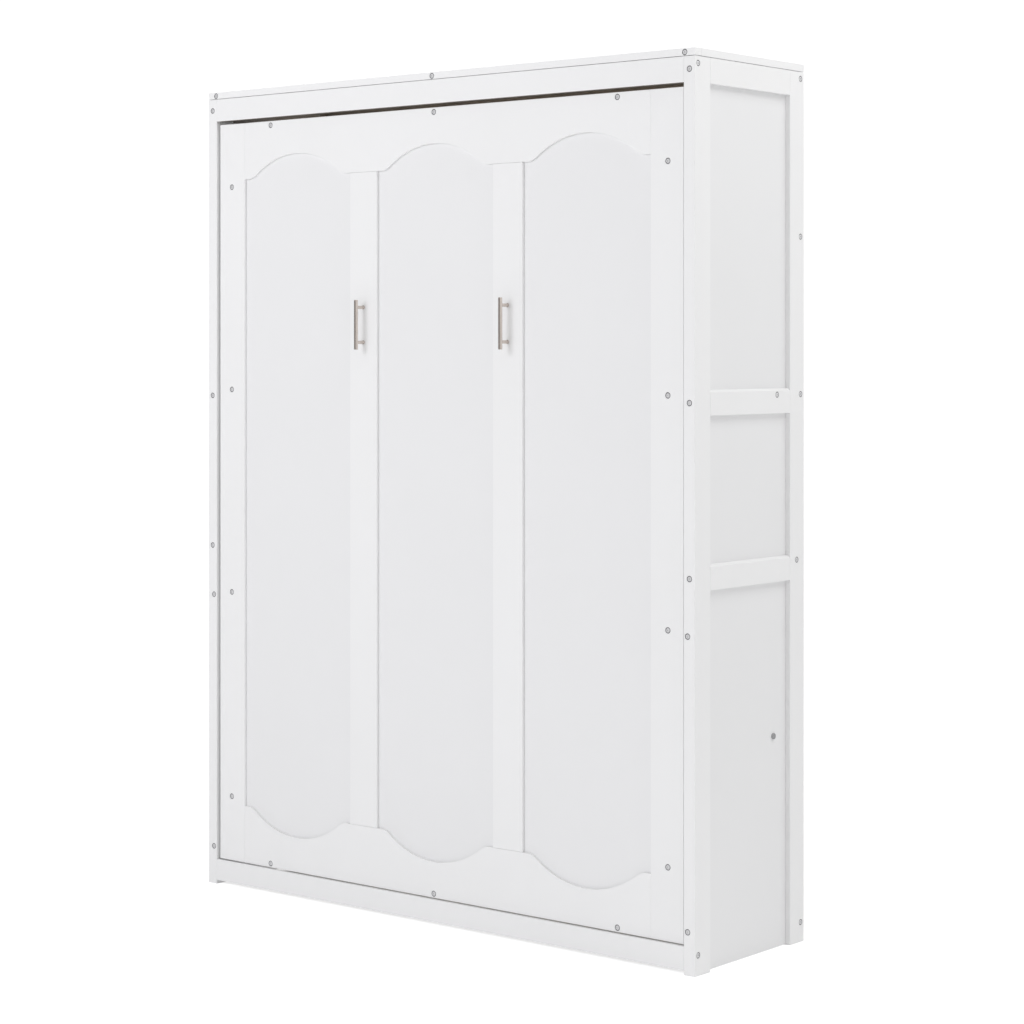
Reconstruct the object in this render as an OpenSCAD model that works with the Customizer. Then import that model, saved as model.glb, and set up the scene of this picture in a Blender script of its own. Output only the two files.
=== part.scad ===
// Upright wall bed for a queen mattress, shown closed.
// X runs to the right, Y to the wall and Z up. The origin is on the floor, under the middle of the whole.
// Depths below are measured from the front of the corner posts, heights from the floor.

/* [Cabinet] */
// Width over the posts
cab_w = 1722; // [1700:1:1760]
// Height over the cap
cab_h = 2286; // [2270:1:2320]
// Depth from the post fronts to the wall
cab_d = 491; // [488:1:510]
// Width of a corner post seen from the front
post_w = 34; // [32:0.5:36]
// Depth of a corner post
post_d = 66; // [62:1:70]
// Height of the header and of the side rails
rail_h = 64; // [58:1:68]
// Thickness of the header and base rails
cross_t = 28; // [26:1:30]
// Thickness of the rails along the wall
wall_rail_t = 32; // [28:1:34]
// Thickness of the cap
cap_t = 20; // [18:1:22]
// Middle height of the upper side rail
upper_rail_z = 1411; // [1390:1:1430]
// Middle height of the lower side rail
lower_rail_z = 978; // [960:1:1000]
// Depth of the side panels behind the outer face
panel_recess = 14; // [12:0.5:15]
// Thickness of the side panels in the two upper bays
panel_t = 6; // [5:0.5:8]
// Thickness of the board in the lowest bay, which carries the bed
board_t = 17; // [16:0.5:18]
// Top of the base rail
base_top = 71; // [68:1:73]
// Air under the base rail
base_air = 11; // [6:1:14]
// Air under the side boards
board_air = 2; // [1:1:6]
// Middle height of the shelf at the wall
shelf_z = 1427; // [1420:1:1434]
// Depth of the shelf
shelf_d = 146; // [130:1:146]

/* [Bed front] */
// Depth of the bed front behind the post fronts
front_recess = 8; // [7:0.5:9]
// Gap beside the bed front
side_gap = 6.5; // [5:0.5:7]
// Gap between the bed front and the header
header_gap = 10; // [7:1:11]
// Gap between the bed front and the base rail
base_gap = 3; // [2.5:0.5:4]
// Thickness of the stiles, rails and mullions
strip_t = 8; // [7:0.5:9]
// Thickness of the sheets behind them
sheet_t = 12; // [10:0.5:14]
// Width of the stiles and of the mullions
stile_w = 100; // [96:1:104]
// Height of the arched rails at their shoulders
arch_rail_h = 161; // [150:1:170]
// Rise of the arches above their shoulders
arch_rise = 65; // [60:0.5:68]
// Radius of the arches
arch_r = 270; // [262:1:275]
// Radius that eases the arches into their shoulders
ease_r = 50; // [40:1:55]

/* [Handles] */
// Middle height of the handles
handle_z = 1611; // [1500:1:1700]
// Length of a handle bar
handle_len = 136; // [130:1:150]
// Distance between the two posts of a handle
handle_span = 96; // [90:1:100]
// Radius of a handle bar
handle_r = 5.5; // [5:0.25:6]
// Radius of the posts that carry it
handle_post_r = 4.5; // [4:0.25:5]
// Distance from the mullion to the middle of the bar
handle_reach = 30; // [28:1:34]

/* [Bed frame] */
// Thickness of the bed's side, head and foot rails
bed_rail_t = 20; // [18:1:22]
// Depth of the bed's side rails
bed_rail_d = 140; // [130:1:144]
// Distance from the edge of the bed front to the middle of a side rail
bed_rail_in = 47.5; // [46:0.5:49]
// Depth of the slats behind the sheets
slat_set = 64; // [60:1:70]
// Thickness of a slat
slat_t = 18; // [16:1:20]
// Width of a slat
slat_w = 70; // [60:1:75]
// Number of slats
slat_count = 14; // [12:1:15]

/* [Bed pivot and gas struts] */
// Depth of the bed's pivot
pivot_y = 202; // [200:1:204]
// Height of the bed's pivot
pivot_z = 310; // [308:1:312]
// Radius of the pivot axle
axle_r = 10; // [9:0.5:11]
// Depth of the upper strut anchor
anchor_y = 366; // [360:1:370]
// Height of the upper strut anchor
anchor_z = 548; // [540:1:555]
// Distance from the pivot to the lower end of a strut
crank_r = 150; // [146:1:154]
// Direction of the lower end seen from the pivot, from the wall side upwards
crank_a = 260; // [258:1:262]
// Radius of a strut's cylinder
strut_r = 11; // [10:0.5:11.5]
// Radius of a strut's rod
rod_r = 5; // [4:0.5:5.5]

/* [Folding leg] */
// Depth of the leg's pivot
leg_y = 129; // [125:1:133]
// Height of the leg's pivot
leg_z = 2110; // [2105:1:2115]
// Radius of the leg's tube
leg_r = 11; // [10:0.5:11.5]
// Offset that carries the leg round the foot of the bed
leg_crank = 104; // [102:1:110]
// Radius of the bends along the middle of the tube
leg_bend = 40; // [30:1:45]
// Radius of the rubber feet
foot_r = 14.5; // [13.5:0.5:16]

/* [Screws] */
// Radius of a screw head with its washer
head_r = 7.75; // [7:0.25:8]
// Radius of a screw shank
shank_r = 3; // [2:0.1:3]

/* [Hidden] */
$fn = 96;

// Colours
paint = [0.93, 0.93, 0.92];
pine = [0.85, 0.74, 0.58];
steel = [0.62, 0.62, 0.63];
nickel = [0.62, 0.57, 0.53];
black = [0.12, 0.12, 0.13];

// Cabinet, seen from the middle of its width
half_w = cab_w / 2;
inner_x = half_w - post_w;
handle_proud = handle_reach + handle_r - front_recess;
front_y = (handle_proud - cab_d) / 2;
cap_z = cab_h - cap_t;
header_z = cap_z - rail_h;
rear_post_y = cab_d - post_d;
panel_x = half_w - panel_recess;
board_x = panel_x - board_t;
lower_rail_bottom = lower_rail_z - rail_h / 2;
side_rail_zs = [cap_z - rail_h / 2, upper_rail_z, lower_rail_z];
groove = 8;
fit_gap = 0.1;
shelf_t = 20;
wall_y = cab_d - wall_rail_t;
rear_upper_z = 1837;
rear_lower_z = 997;
rear_lower_set = 18;
rear_bottom_z = [20, 84];
base_bevel = [18, 15];

// Wall fixing holes, two studs apart
stud_x = 406.4;
wall_hole_r = 4.5;

// Bed front
front_half = inner_x - side_gap;
front_z = [base_top + base_gap, header_z - header_gap];
rail_half = front_half - stile_w;
opening_w = (2 * rail_half - 2 * stile_w) / 3;
bay = opening_w + stile_w;
mullion_x = bay / 2;
sheet_y = front_recess + strip_t;
back_y = sheet_y + sheet_t;
seam_x = mullion_x + 30;
sheet_gap = 0.5;
arch_mid = arch_rise - arch_r;
ease_set = 0.01;
ease_z = ease_r - ease_set;
ease_x = sqrt(pow(arch_r + ease_z, 2) - pow(ease_z - arch_mid, 2));
ease_top = arch_mid + (ease_z - arch_mid) * arch_r / (arch_r + ease_z);

// Bed frame
bed_rail_x = front_half - bed_rail_in;
bed_inner_x = bed_rail_x - bed_rail_t / 2;
bed_outer_x = bed_rail_x + bed_rail_t / 2;
bed_z = [front_z[0] + 1, front_z[1] - 2];
head_z = bed_z[0] + bed_rail_t;
foot_z = bed_z[1] - bed_rail_t;
head_rail_d = 165;
corner_r = 30;
slat_y = back_y + slat_set;
slat_pitch = (foot_z - head_z) / slat_count;
cleat_t = 18;
beam_w = 34;

// Pivot and struts
arm_t = 5;
arm_x = bed_outer_x + arm_t;
plate_t = 5;
plate_x = board_x - plate_t;
boss_r = 17;
boss_len = 19;
run_fit = 0.05;
strut_x = 803;
eye_w = 11;
eye_r = 9;
pin_r = 4;
crank_y = pivot_y + crank_r * cos(crank_a);
crank_z = pivot_z + crank_r * sin(crank_a);
strut_len = norm([crank_y - anchor_y, crank_z - anchor_z]);
strut_a = atan2(anchor_y - crank_y, crank_z - anchor_z);
cylinder_from = 22;
cylinder_to = 236;
gland_t = 14;
end_t = 8;
piston_t = 10;
stud_gap = 0.4;
arm_bolt_ys = [pivot_y - 136, pivot_y - 63];
arm_bolts = [[arm_bolt_ys[0], 140], [arm_bolt_ys[0], 400], [arm_bolt_ys[1], 215], [arm_bolt_ys[1], 400]];
plate_half = [50, 70];
plate_bolt_in = 16;
arm_bolt_r = 4;
plate_screw_r = 3.5;
plate_screw_in = board_t - 6;

// Leg
leg_x = 797;
leg_reach = leg_y + pivot_z - pivot_y - foot_r;
sleeve_r = 15;
sleeve_half = 12;
leg_bolt_r = 6;
tube_wall = 2;
foot_x = 650;
foot_len = 60;

// Screws: distance from the outer face or the middle, and height
head_h = 2;
head_set = 0.2;
post_screw_spots = concat(
    [for (z = side_rail_zs) [post_w / 2, z]],
    [for (z = [836, 108]) [panel_recess + board_t / 2, z]]
);
post_screw_len = post_d + 34;
header_screw_z = 2248;
base_screw_z = 52;
side_screw_spots = [
    [cross_t / 2, header_screw_z], [cab_d - wall_rail_t / 2, header_screw_z],
    [cab_d - wall_rail_t / 2, rear_upper_z], [cab_d - shelf_d + 20, shelf_z], [cab_d - 16, shelf_z],
    [cab_d - rear_lower_set - wall_rail_t / 2, rear_lower_z],
    [cab_d - wall_rail_t / 2, base_screw_z], [cross_t / 2, base_screw_z]
];
side_screw_len = post_w + 40;
cap_screw_xs = [-830, 0, 830];
cap_screw_len = cross_t + 30;
front_screw_spots = concat(
    [for (x = [-616, 0, 616], z = [bed_z[0] + bed_rail_t / 2, bed_z[1] - bed_rail_t / 2]) [x, z]],
    [for (x = [-bed_rail_x, bed_rail_x], z = [258, 846, 1429, 2011]) [x, z]]
);
front_screw_len = 50;

// Moves what is drawn from the post fronts into the frame of the whole
module in_place() {
    translate([0, front_y, 0]) children();
}

// Draws the right side as it is and the left side as its mirror image
module on_side(s) {
    if (s > 0) children();
    else mirror([1, 0, 0]) children();
}

// Box between two limits along each axis
module box(x, y, z) {
    translate([x[0], y[0], z[0]]) cube([x[1] - x[0], y[1] - y[0], z[1] - z[0]]);
}

// Extrudes an outline drawn in X and Z towards the wall
module towards_wall(y, t) {
    translate([0, y + t, 0]) rotate([90, 0, 0]) linear_extrude(t) children();
}

// Extrudes an outline drawn in Y and Z to the right
module to_right(x, t) {
    translate([x, 0, 0]) rotate([90, 0, 90]) linear_extrude(t) children();
}

// Round bar to the right from x over a length
module bar_x(x, y, z, r, len) {
    translate([x, y, z]) rotate([0, 90, 0]) cylinder(r = r, h = len);
}

// Outline with round corners between two corners
module round_rect(from, to, r) {
    translate(from + [r, 0]) square(to - from - [2 * r, 0]);
    translate(from + [0, r]) square(to - from - [0, 2 * r]);
    for (x = [from[0] + r, to[0] - r], y = [from[1] + r, to[1] - r])
        translate([x, y]) circle(r);
}

// Outline of a bar with round ends between two points
module link(a, b, r) {
    d = b - a;
    translate(a) rotate(atan2(d[1], d[0])) translate([0, -r]) square([norm(d), 2 * r]);
    for (p = [a, b]) translate(p) circle(r);
}

// Screw that goes into a surface along Z, its head let in flush
module screw(len) {
    translate([0, 0, head_set]) {
        cylinder(r = head_r, h = head_h);
        cylinder(r = shank_r, h = len);
    }
}

module screw_bore(len) {
    translate([0, 0, -1]) {
        cylinder(r = head_r + fit_gap, h = 1 + head_set + head_h);
        cylinder(r = shank_r + fit_gap, h = len + 2);
    }
}

// Bolt that goes into a surface along Z, its round head on the surface
module bolt(len, r, head, h) {
    cylinder(r = r, h = len);
    translate([0, 0, -h / 2]) cylinder(r = head, h = h / 2);
    translate([0, 0, -h]) cylinder(r1 = head * 0.7, r2 = head, h = h / 2);
}

module bolt_bore(len, r) {
    translate([0, 0, -1]) cylinder(r = r + fit_gap, h = len + 2);
}

// Places of the screws through the right posts into the side rails and the side board
module post_screw_places() {
    for (p = post_screw_spots) {
        translate([half_w - p[0], 0, p[1]]) rotate([-90, 0, 0]) children();
        translate([half_w - p[0], cab_d, p[1]]) rotate([90, 0, 0]) children();
    }
}

// Places of the screws through the right side into the cross pieces
module side_screw_places() {
    for (p = side_screw_spots) translate([half_w, p[0], p[1]]) rotate([0, -90, 0]) children();
}

module cap_screw_places() {
    for (x = cap_screw_xs) translate([x, 0, cab_h - cap_t / 2]) rotate([-90, 0, 0]) children();
}

module front_screw_places() {
    for (p = front_screw_spots) translate([p[0], front_recess, p[1]]) rotate([-90, 0, 0]) children();
}

module side_bores() {
    post_screw_places() screw_bore(post_screw_len);
    side_screw_places() screw_bore(side_screw_len);
}

// Room for the edges of the two thin panels in the posts and side rails
module panel_grooves() {
    for (z = [[lower_rail_z, upper_rail_z], [upper_rail_z, header_z + rail_h / 2]])
        box(
            [panel_x - panel_t - fit_gap, panel_x + fit_gap],
            [post_d - groove - fit_gap, rear_post_y + groove + fit_gap],
            [z[0] + rail_h / 2 - groove - fit_gap, z[1] - rail_h / 2 + groove + fit_gap]
        );
}

// Cabinet

module post(s, y) {
    color(paint) in_place() on_side(s) difference() {
        box([inner_x, half_w], [y, y + post_d], [0, cap_z]);
        side_bores();
        panel_grooves();
    }
}

module side_rail(s, z) {
    color(paint) in_place() on_side(s) difference() {
        box([inner_x, half_w], [post_d, rear_post_y], [z - rail_h / 2, z + rail_h / 2]);
        side_bores();
        panel_grooves();
    }
}

module side_panel(s, low, high) {
    color(paint) in_place() on_side(s)
        box(
            [panel_x - panel_t, panel_x],
            [post_d - groove, rear_post_y + groove],
            [low + rail_h / 2 - groove, high - rail_h / 2 + groove]
        );
}

module side_board(s) {
    color(paint) in_place() on_side(s) difference() {
        box([board_x, panel_x], [post_d, rear_post_y], [board_air, lower_rail_bottom]);
        post_screw_places() screw_bore(post_screw_len);
        bar_x(board_x - 1, anchor_y, anchor_z, pin_r + fit_gap, board_t + 2);
        plate_screw_places() bolt_bore(plate_screw_in, plate_screw_r);
    }
}

module header_rail() {
    color(paint) in_place() difference() {
        box([-inner_x, inner_x], [0, cross_t], [header_z, cap_z]);
        for (s = [-1, 1]) on_side(s) side_screw_places() screw_bore(side_screw_len);
    }
}

// The rear top edge is bevelled so that the foot of the bed front clears it as it swings back
module base_rail() {
    color(paint) in_place() difference() {
        to_right(-inner_x, 2 * inner_x) polygon([
            [0, base_air],
            [cross_t, base_air],
            [cross_t, base_top - base_bevel[1]],
            [cross_t - base_bevel[0], base_top],
            [0, base_top]
        ]);
        for (s = [-1, 1]) on_side(s) side_screw_places() screw_bore(side_screw_len);
    }
}

module cap_strip() {
    color(paint) in_place() difference() {
        box([-half_w, half_w], [0, cross_t], [cap_z, cab_h]);
        cap_screw_places() screw_bore(cap_screw_len);
    }
}

module cap_board() {
    color(paint) in_place() difference() {
        box([-half_w, half_w], [cross_t, cab_d], [cap_z, cab_h]);
        cap_screw_places() screw_bore(cap_screw_len);
    }
}

// Rail between the rear posts; a drilled one takes the wall screws
module rear_rail(y, z, drilled = false) {
    color(paint) in_place() difference() {
        box([-inner_x, inner_x], [y, y + wall_rail_t], z);
        for (s = [-1, 1]) on_side(s) side_screw_places() screw_bore(side_screw_len);
        if (drilled)
            for (x = [-stud_x, stud_x])
                translate([x, y - 1, (z[0] + z[1]) / 2]) rotate([-90, 0, 0])
                    cylinder(r = wall_hole_r, h = wall_rail_t + 2);
    }
}

module rear_shelf() {
    color(paint) in_place() difference() {
        box([-inner_x, inner_x], [cab_d - shelf_d, cab_d], [shelf_z - shelf_t / 2, shelf_z + shelf_t / 2]);
        for (s = [-1, 1]) on_side(s) side_screw_places() screw_bore(side_screw_len);
    }
}

module plate_screw_places() {
    for (y = [-1, 1] * (plate_half[0] - plate_bolt_in), z = [-1, 1] * (plate_half[1] - plate_bolt_in))
        translate([board_x, pivot_y + y, pivot_z + z]) rotate([0, 90, 0]) children();
}

// Steel plate on the side board, with the bush that the bed's axle turns in
module pivot_plate(s) {
    middle = [pivot_y, pivot_z];
    color(steel) in_place() on_side(s) difference() {
        union() {
            to_right(plate_x, plate_t) round_rect(middle - plate_half, middle + plate_half, 14);
            bar_x(plate_x - boss_len, pivot_y, pivot_z, boss_r, boss_len);
        }
        bar_x(plate_x - boss_len - 1, pivot_y, pivot_z, axle_r + run_fit, boss_len + 1);
        plate_screw_places() translate([0, 0, -2 * plate_t]) bolt_bore(2 * plate_t, plate_screw_r);
    }
}

// Steel anchor bolted through the side board, with the pin for the strut's upper eye
module strut_anchor(s) {
    eye_to = strut_x + eye_w / 2;
    color(steel) in_place() on_side(s) {
        bar_x(board_x - 4, anchor_y, anchor_z, 26, 4);
        bar_x(eye_to + 1, anchor_y, anchor_z, 8, board_x - 4 - eye_to - 1);
        bar_x(strut_x - eye_w, anchor_y, anchor_z, pin_r, eye_w * 2);
        bar_x(strut_x - eye_w, anchor_y, anchor_z, pin_r + 3, eye_w / 2 - 1);
        bar_x(board_x, anchor_y, anchor_z, pin_r, board_t);
        bar_x(panel_x, anchor_y, anchor_z, 7.5, 4);
    }
}

module plate_screws() {
    color(steel) in_place() for (s = [-1, 1]) on_side(s) plate_screw_places()
        translate([0, 0, -plate_t]) bolt(plate_t + plate_screw_in, plate_screw_r, 7, 3);
}

// Strips on the front posts that the closed bed comes to rest against
module closing_stops() {
    color(paint) in_place() for (s = [-1, 1]) on_side(s)
        box([inner_x - 11, inner_x], [back_y + 0.5, back_y + 25], [2040, 2140]);
}

module cabinet_screws() {
    color(steel) in_place() {
        for (s = [-1, 1]) on_side(s) {
            post_screw_places() screw(post_screw_len);
            side_screw_places() screw(side_screw_len);
        }
        cap_screw_places() screw(cap_screw_len);
    }
}

// Bed front

module stile(s) {
    color(paint) in_place() on_side(s) difference() {
        box([rail_half, front_half], [front_recess, sheet_y], front_z);
        front_screw_places() screw_bore(front_screw_len);
    }
}

// Opening of one arch, up to where the eased corners of its shoulders begin
module arch_opening() {
    intersection() {
        translate([0, arch_mid]) circle(arch_r, $fn = 240);
        translate([-opening_w / 2, ease_top]) square([opening_w, arch_rise]);
    }
    translate([-ease_x, -1]) square([2 * ease_x, 1 + ease_top]);
}

// Eased corner between the arch and its shoulder, set into both by a hair
module arch_ease() {
    translate([ease_x, 0]) intersection() {
        translate([0, ease_z]) circle(ease_r);
        translate([-ease_r, -1]) square([ease_r + 2, 3 + ease_top]);
    }
}

// Arched rail across the three bays, its shoulders on the line z = 0
module arch_rail_outline() {
    difference() {
        translate([-rail_half, 0]) square([2 * rail_half, arch_rail_h]);
        for (i = [-1 : 1]) translate([i * bay, 0]) arch_opening();
    }
    for (i = [-1 : 1]) translate([i * bay, 0]) {
        arch_ease();
        mirror([1, 0]) arch_ease();
    }
}

module top_arch_rail() {
    color(paint) in_place() difference() {
        towards_wall(front_recess, strip_t)
            translate([0, front_z[1] - arch_rail_h]) arch_rail_outline();
        front_screw_places() screw_bore(front_screw_len);
    }
}

module bottom_arch_rail() {
    color(paint) in_place() difference() {
        towards_wall(front_recess, strip_t)
            translate([0, front_z[0] + arch_rail_h]) mirror([0, 1]) arch_rail_outline();
        front_screw_places() screw_bore(front_screw_len);
    }
}

module handle_screw_places() {
    for (z = [-1, 1] * handle_span / 2)
        translate([mullion_x, back_y, handle_z + z]) rotate([90, 0, 0]) children();
}

module mullion(s) {
    color(paint) in_place() on_side(s) difference() {
        box(
            [mullion_x - stile_w / 2, mullion_x + stile_w / 2],
            [front_recess, sheet_y],
            [front_z[0] + arch_rail_h, front_z[1] - arch_rail_h]
        );
        handle_screw_places() bolt_bore(strip_t + sheet_t, 2);
    }
}

module side_sheet(s) {
    color(paint) in_place() on_side(s) difference() {
        box([seam_x + sheet_gap, front_half], [sheet_y, back_y], front_z);
        front_screw_places() screw_bore(front_screw_len);
    }
}

module centre_front_sheet() {
    color(paint) in_place() difference() {
        box([-seam_x, seam_x], [sheet_y, back_y], front_z);
        front_screw_places() screw_bore(front_screw_len);
        for (s = [-1, 1]) on_side(s) handle_screw_places() bolt_bore(strip_t + sheet_t, 2);
    }
}

// Bar on two posts, held by two screws from behind
module handle(s) {
    bar_y = front_recess - handle_reach;
    color(nickel) in_place() on_side(s) {
        translate([mullion_x, bar_y, handle_z - handle_len / 2]) cylinder(r = handle_r, h = handle_len);
        for (z = [-1, 1] * handle_span / 2)
            translate([mullion_x, bar_y, handle_z + z]) rotate([-90, 0, 0])
                cylinder(r = handle_post_r, h = handle_reach);
        handle_screw_places() bolt(strip_t + sheet_t, 2, 4, 2.4);
    }
}

module front_screws() {
    color(steel) in_place() front_screw_places() screw(front_screw_len);
}

// Bed frame

module bed_rail(s) {
    color(paint) in_place() on_side(s) difference() {
        to_right(bed_inner_x, bed_rail_t) union() {
            round_rect([back_y, bed_z[0]], [back_y + bed_rail_d, bed_z[1]], corner_r);
            translate([back_y, bed_z[0]]) square([bed_rail_d / 2, bed_z[1] - bed_z[0]]);
        }
        front_screw_places() screw_bore(front_screw_len);
        arm_bolt_places() bolt_bore(arm_t + bed_rail_t, arm_bolt_r);
        bar_x(bed_inner_x - 1, leg_y, leg_z, leg_bolt_r + fit_gap, bed_rail_t + 2);
    }
}

module head_rail() {
    color(paint) in_place() difference() {
        box([-bed_inner_x, bed_inner_x], [back_y, back_y + head_rail_d], [bed_z[0], head_z]);
        front_screw_places() screw_bore(front_screw_len);
    }
}

module foot_rail() {
    color(paint) in_place() difference() {
        box([-bed_inner_x, bed_inner_x], [back_y, back_y + bed_rail_d], [foot_z, bed_z[1]]);
        front_screw_places() screw_bore(front_screw_len);
    }
}

module slat_cleats() {
    color(pine) in_place() for (s = [-1, 1]) on_side(s)
        box([bed_inner_x - cleat_t, bed_inner_x], [slat_y - cleat_t, slat_y], [head_z, foot_z]);
}

module centre_beam() {
    color(pine) in_place() box([-beam_w / 2, beam_w / 2], [back_y, slat_y], [head_z, foot_z]);
}

module slats() {
    color(pine) in_place() for (i = [0 : slat_count - 1]) {
        low = head_z + slat_pitch * (i + 0.5) - slat_w / 2;
        box([1 - bed_inner_x, bed_inner_x - 1], [slat_y, slat_y + slat_t], [low, low + slat_w]);
    }
}

module arm_bolt_places() {
    for (p = arm_bolts) translate([arm_x, p[0], p[1]]) rotate([0, -90, 0]) children();
}

// Steel arm on the bed's side rail, with the axle of the bed's pivot and the seat of the strut's lower end
module hinge_arm(s) {
    color(steel) in_place() on_side(s) {
        difference() {
            to_right(bed_outer_x, arm_t) {
                round_rect([arm_bolt_ys[0] - 12, 115], [arm_bolt_ys[1] + 20, 425], 18);
                link([pivot_y - 78, pivot_z], [pivot_y, pivot_z], 26);
                link([pivot_y - 90, crank_z + 8], [crank_y, crank_z], 20);
            }
            arm_bolt_places() bolt_bore(arm_t, arm_bolt_r);
        }
        bar_x(arm_x, pivot_y, pivot_z, axle_r, plate_x - arm_x - 1);
        bar_x(arm_x, pivot_y, pivot_z, axle_r + 5, 6);
    }
}

module bed_bolts() {
    color(steel) in_place() for (s = [-1, 1]) on_side(s) {
        arm_bolt_places() {
            bolt(arm_t + bed_rail_t, arm_bolt_r, 7.5, 4);
            translate([0, 0, arm_t + bed_rail_t]) cylinder(r = 7.5, h = 6, $fn = 6);
        }
        bar_x(bed_inner_x, leg_y, leg_z, leg_bolt_r, leg_x + sleeve_half + 0.5 - bed_inner_x);
        bar_x(leg_x + sleeve_half + 0.5, leg_y, leg_z, 11, 4);
        bar_x(bed_inner_x - 6, leg_y, leg_z, 11, 6);
    }
}

// Folding leg: a tube that goes from its pivots round the foot of the bed, with a cross bar between its arms

module leg_side(r, start) {
    low = leg_z - leg_crank;
    length = leg_reach - 2 * leg_bend;
    translate([leg_x, leg_y, low + leg_bend]) cylinder(r = r, h = leg_crank - leg_bend - start);
    translate([leg_x, leg_y + leg_bend, low + leg_bend]) rotate([90, 0, 90]) rotate([0, 0, 180])
        rotate_extrude(angle = 90) translate([leg_bend, 0]) circle(r);
    translate([leg_x, leg_y + leg_bend, low]) rotate([-90, 0, 0]) cylinder(r = r, h = length);
    translate([leg_x - leg_bend, leg_y + leg_reach - leg_bend, low])
        rotate_extrude(angle = 90) translate([leg_bend, 0]) circle(r);
}

module leg_tube(r, start) {
    for (s = [-1, 1]) on_side(s) leg_side(r, start);
    bar_x(leg_bend - leg_x, leg_y + leg_reach, leg_z - leg_crank, r, 2 * (leg_x - leg_bend));
}

module leg_frame() {
    color(steel) in_place() difference() {
        union() {
            leg_tube(leg_r, 0);
            for (s = [-1, 1]) on_side(s)
                bar_x(leg_x - sleeve_half, leg_y, leg_z, sleeve_r, 2 * sleeve_half);
        }
        leg_tube(leg_r - tube_wall, sleeve_r);
        for (s = [-1, 1]) on_side(s)
            bar_x(leg_x - sleeve_half - 1, leg_y, leg_z, leg_bolt_r + run_fit, 2 * sleeve_half + 2);
    }
}

module leg_feet() {
    color(black) in_place() for (s = [-1, 1]) on_side(s) difference() {
        bar_x(foot_x - foot_len / 2, leg_y + leg_reach, leg_z - leg_crank, foot_r, foot_len);
        bar_x(foot_x - foot_len, leg_y + leg_reach, leg_z - leg_crank, leg_r + run_fit, 2 * foot_len);
    }
}

// Gas struts, drawn along their own length from the upper anchor

module strut_place() {
    in_place() translate([strut_x, anchor_y, anchor_z]) rotate([strut_a, 0, 0]) children();
}

module strut_cylinder(s) {
    bore = rod_r + run_fit;
    inside = strut_r - tube_wall;
    color(black) on_side(s) strut_place() difference() {
        union() {
            bar_x(-eye_w / 2, 0, 0, eye_r, eye_w);
            rotate_extrude() polygon([
                [0, 0], [rod_r + 1, 0], [rod_r + 1, cylinder_from],
                [strut_r, cylinder_from + 2], [strut_r, cylinder_to - 2], [strut_r - 2, cylinder_to],
                [bore, cylinder_to], [bore, cylinder_to - gland_t], [inside, cylinder_to - gland_t],
                [inside, cylinder_from + end_t], [0, cylinder_from + end_t]
            ]);
        }
        bar_x(-eye_w, 0, 0, pin_r + run_fit, 2 * eye_w);
    }
}

module strut_rod(s) {
    piston_at = cylinder_to - gland_t - 10 - piston_t;
    color(steel) on_side(s) strut_place() {
        translate([0, 0, piston_at]) cylinder(r = strut_r - tube_wall - run_fit, h = piston_t);
        translate([0, 0, piston_at]) cylinder(r = rod_r, h = strut_len - piston_at);
        translate([0, 0, strut_len]) {
            bar_x(-eye_w / 2, 0, 0, eye_r, eye_w);
            bar_x(arm_x + stud_gap - strut_x, 0, 0, pin_r + 1, strut_x - arm_x - stud_gap);
            bar_x(eye_w / 2, 0, 0, pin_r + 3, 3);
        }
    }
}

post(-1, 0);  // left_front_post
post(1, 0);  // right_front_post
post(-1, rear_post_y);  // left_rear_post
post(1, rear_post_y);  // right_rear_post
header_rail();
base_rail();
cap_strip();
cap_board();
side_rail(-1, side_rail_zs[0]);  // left_top_side_rail
side_rail(-1, side_rail_zs[1]);  // left_upper_side_rail
side_rail(-1, side_rail_zs[2]);  // left_lower_side_rail
side_rail(1, side_rail_zs[0]);  // right_top_side_rail
side_rail(1, side_rail_zs[1]);  // right_upper_side_rail
side_rail(1, side_rail_zs[2]);  // right_lower_side_rail
side_panel(-1, upper_rail_z, side_rail_zs[0]);  // left_upper_side_panel
side_panel(-1, lower_rail_z, upper_rail_z);  // left_middle_side_panel
side_board(-1);  // left_side_board
side_panel(1, upper_rail_z, side_rail_zs[0]);  // right_upper_side_panel
side_panel(1, lower_rail_z, upper_rail_z);  // right_middle_side_panel
side_board(1);  // right_side_board
rear_rail(wall_y, [header_z, cap_z], true);  // rear_top_rail
rear_rail(wall_y, [rear_upper_z - rail_h / 2, rear_upper_z + rail_h / 2], true);  // rear_upper_rail
rear_shelf();
rear_rail(wall_y - rear_lower_set, [rear_lower_z - rail_h / 2, rear_lower_z + rail_h / 2]);  // rear_lower_rail
rear_rail(wall_y, rear_bottom_z);  // rear_bottom_rail
pivot_plate(-1);  // left_pivot_plate
pivot_plate(1);  // right_pivot_plate
strut_anchor(-1);  // left_strut_anchor
strut_anchor(1);  // right_strut_anchor
plate_screws();
closing_stops();
cabinet_screws();

// Bed nodes
stile(-1);  // left_stile
stile(1);  // right_stile
top_arch_rail();
bottom_arch_rail();
mullion(-1);  // left_mullion
mullion(1);  // right_mullion
side_sheet(-1);  // left_front_sheet
centre_front_sheet();
side_sheet(1);  // right_front_sheet
bed_rail(-1);  // left_bed_rail
bed_rail(1);  // right_bed_rail
head_rail();
foot_rail();
slat_cleats();
centre_beam();
slats();
hinge_arm(-1);  // left_hinge_arm
hinge_arm(1);  // right_hinge_arm
bed_bolts();
handle(-1);  // left_handle
handle(1);  // right_handle
front_screws();

// Leg and strut nodes
leg_frame();
leg_feet();
strut_cylinder(-1);  // left_strut_cylinder
strut_rod(-1);  // left_strut_rod
strut_cylinder(1);  // right_strut_cylinder
strut_rod(1);  // right_strut_rod
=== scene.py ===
import math

import bmesh
import bpy
from mathutils import Matrix, Vector


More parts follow.
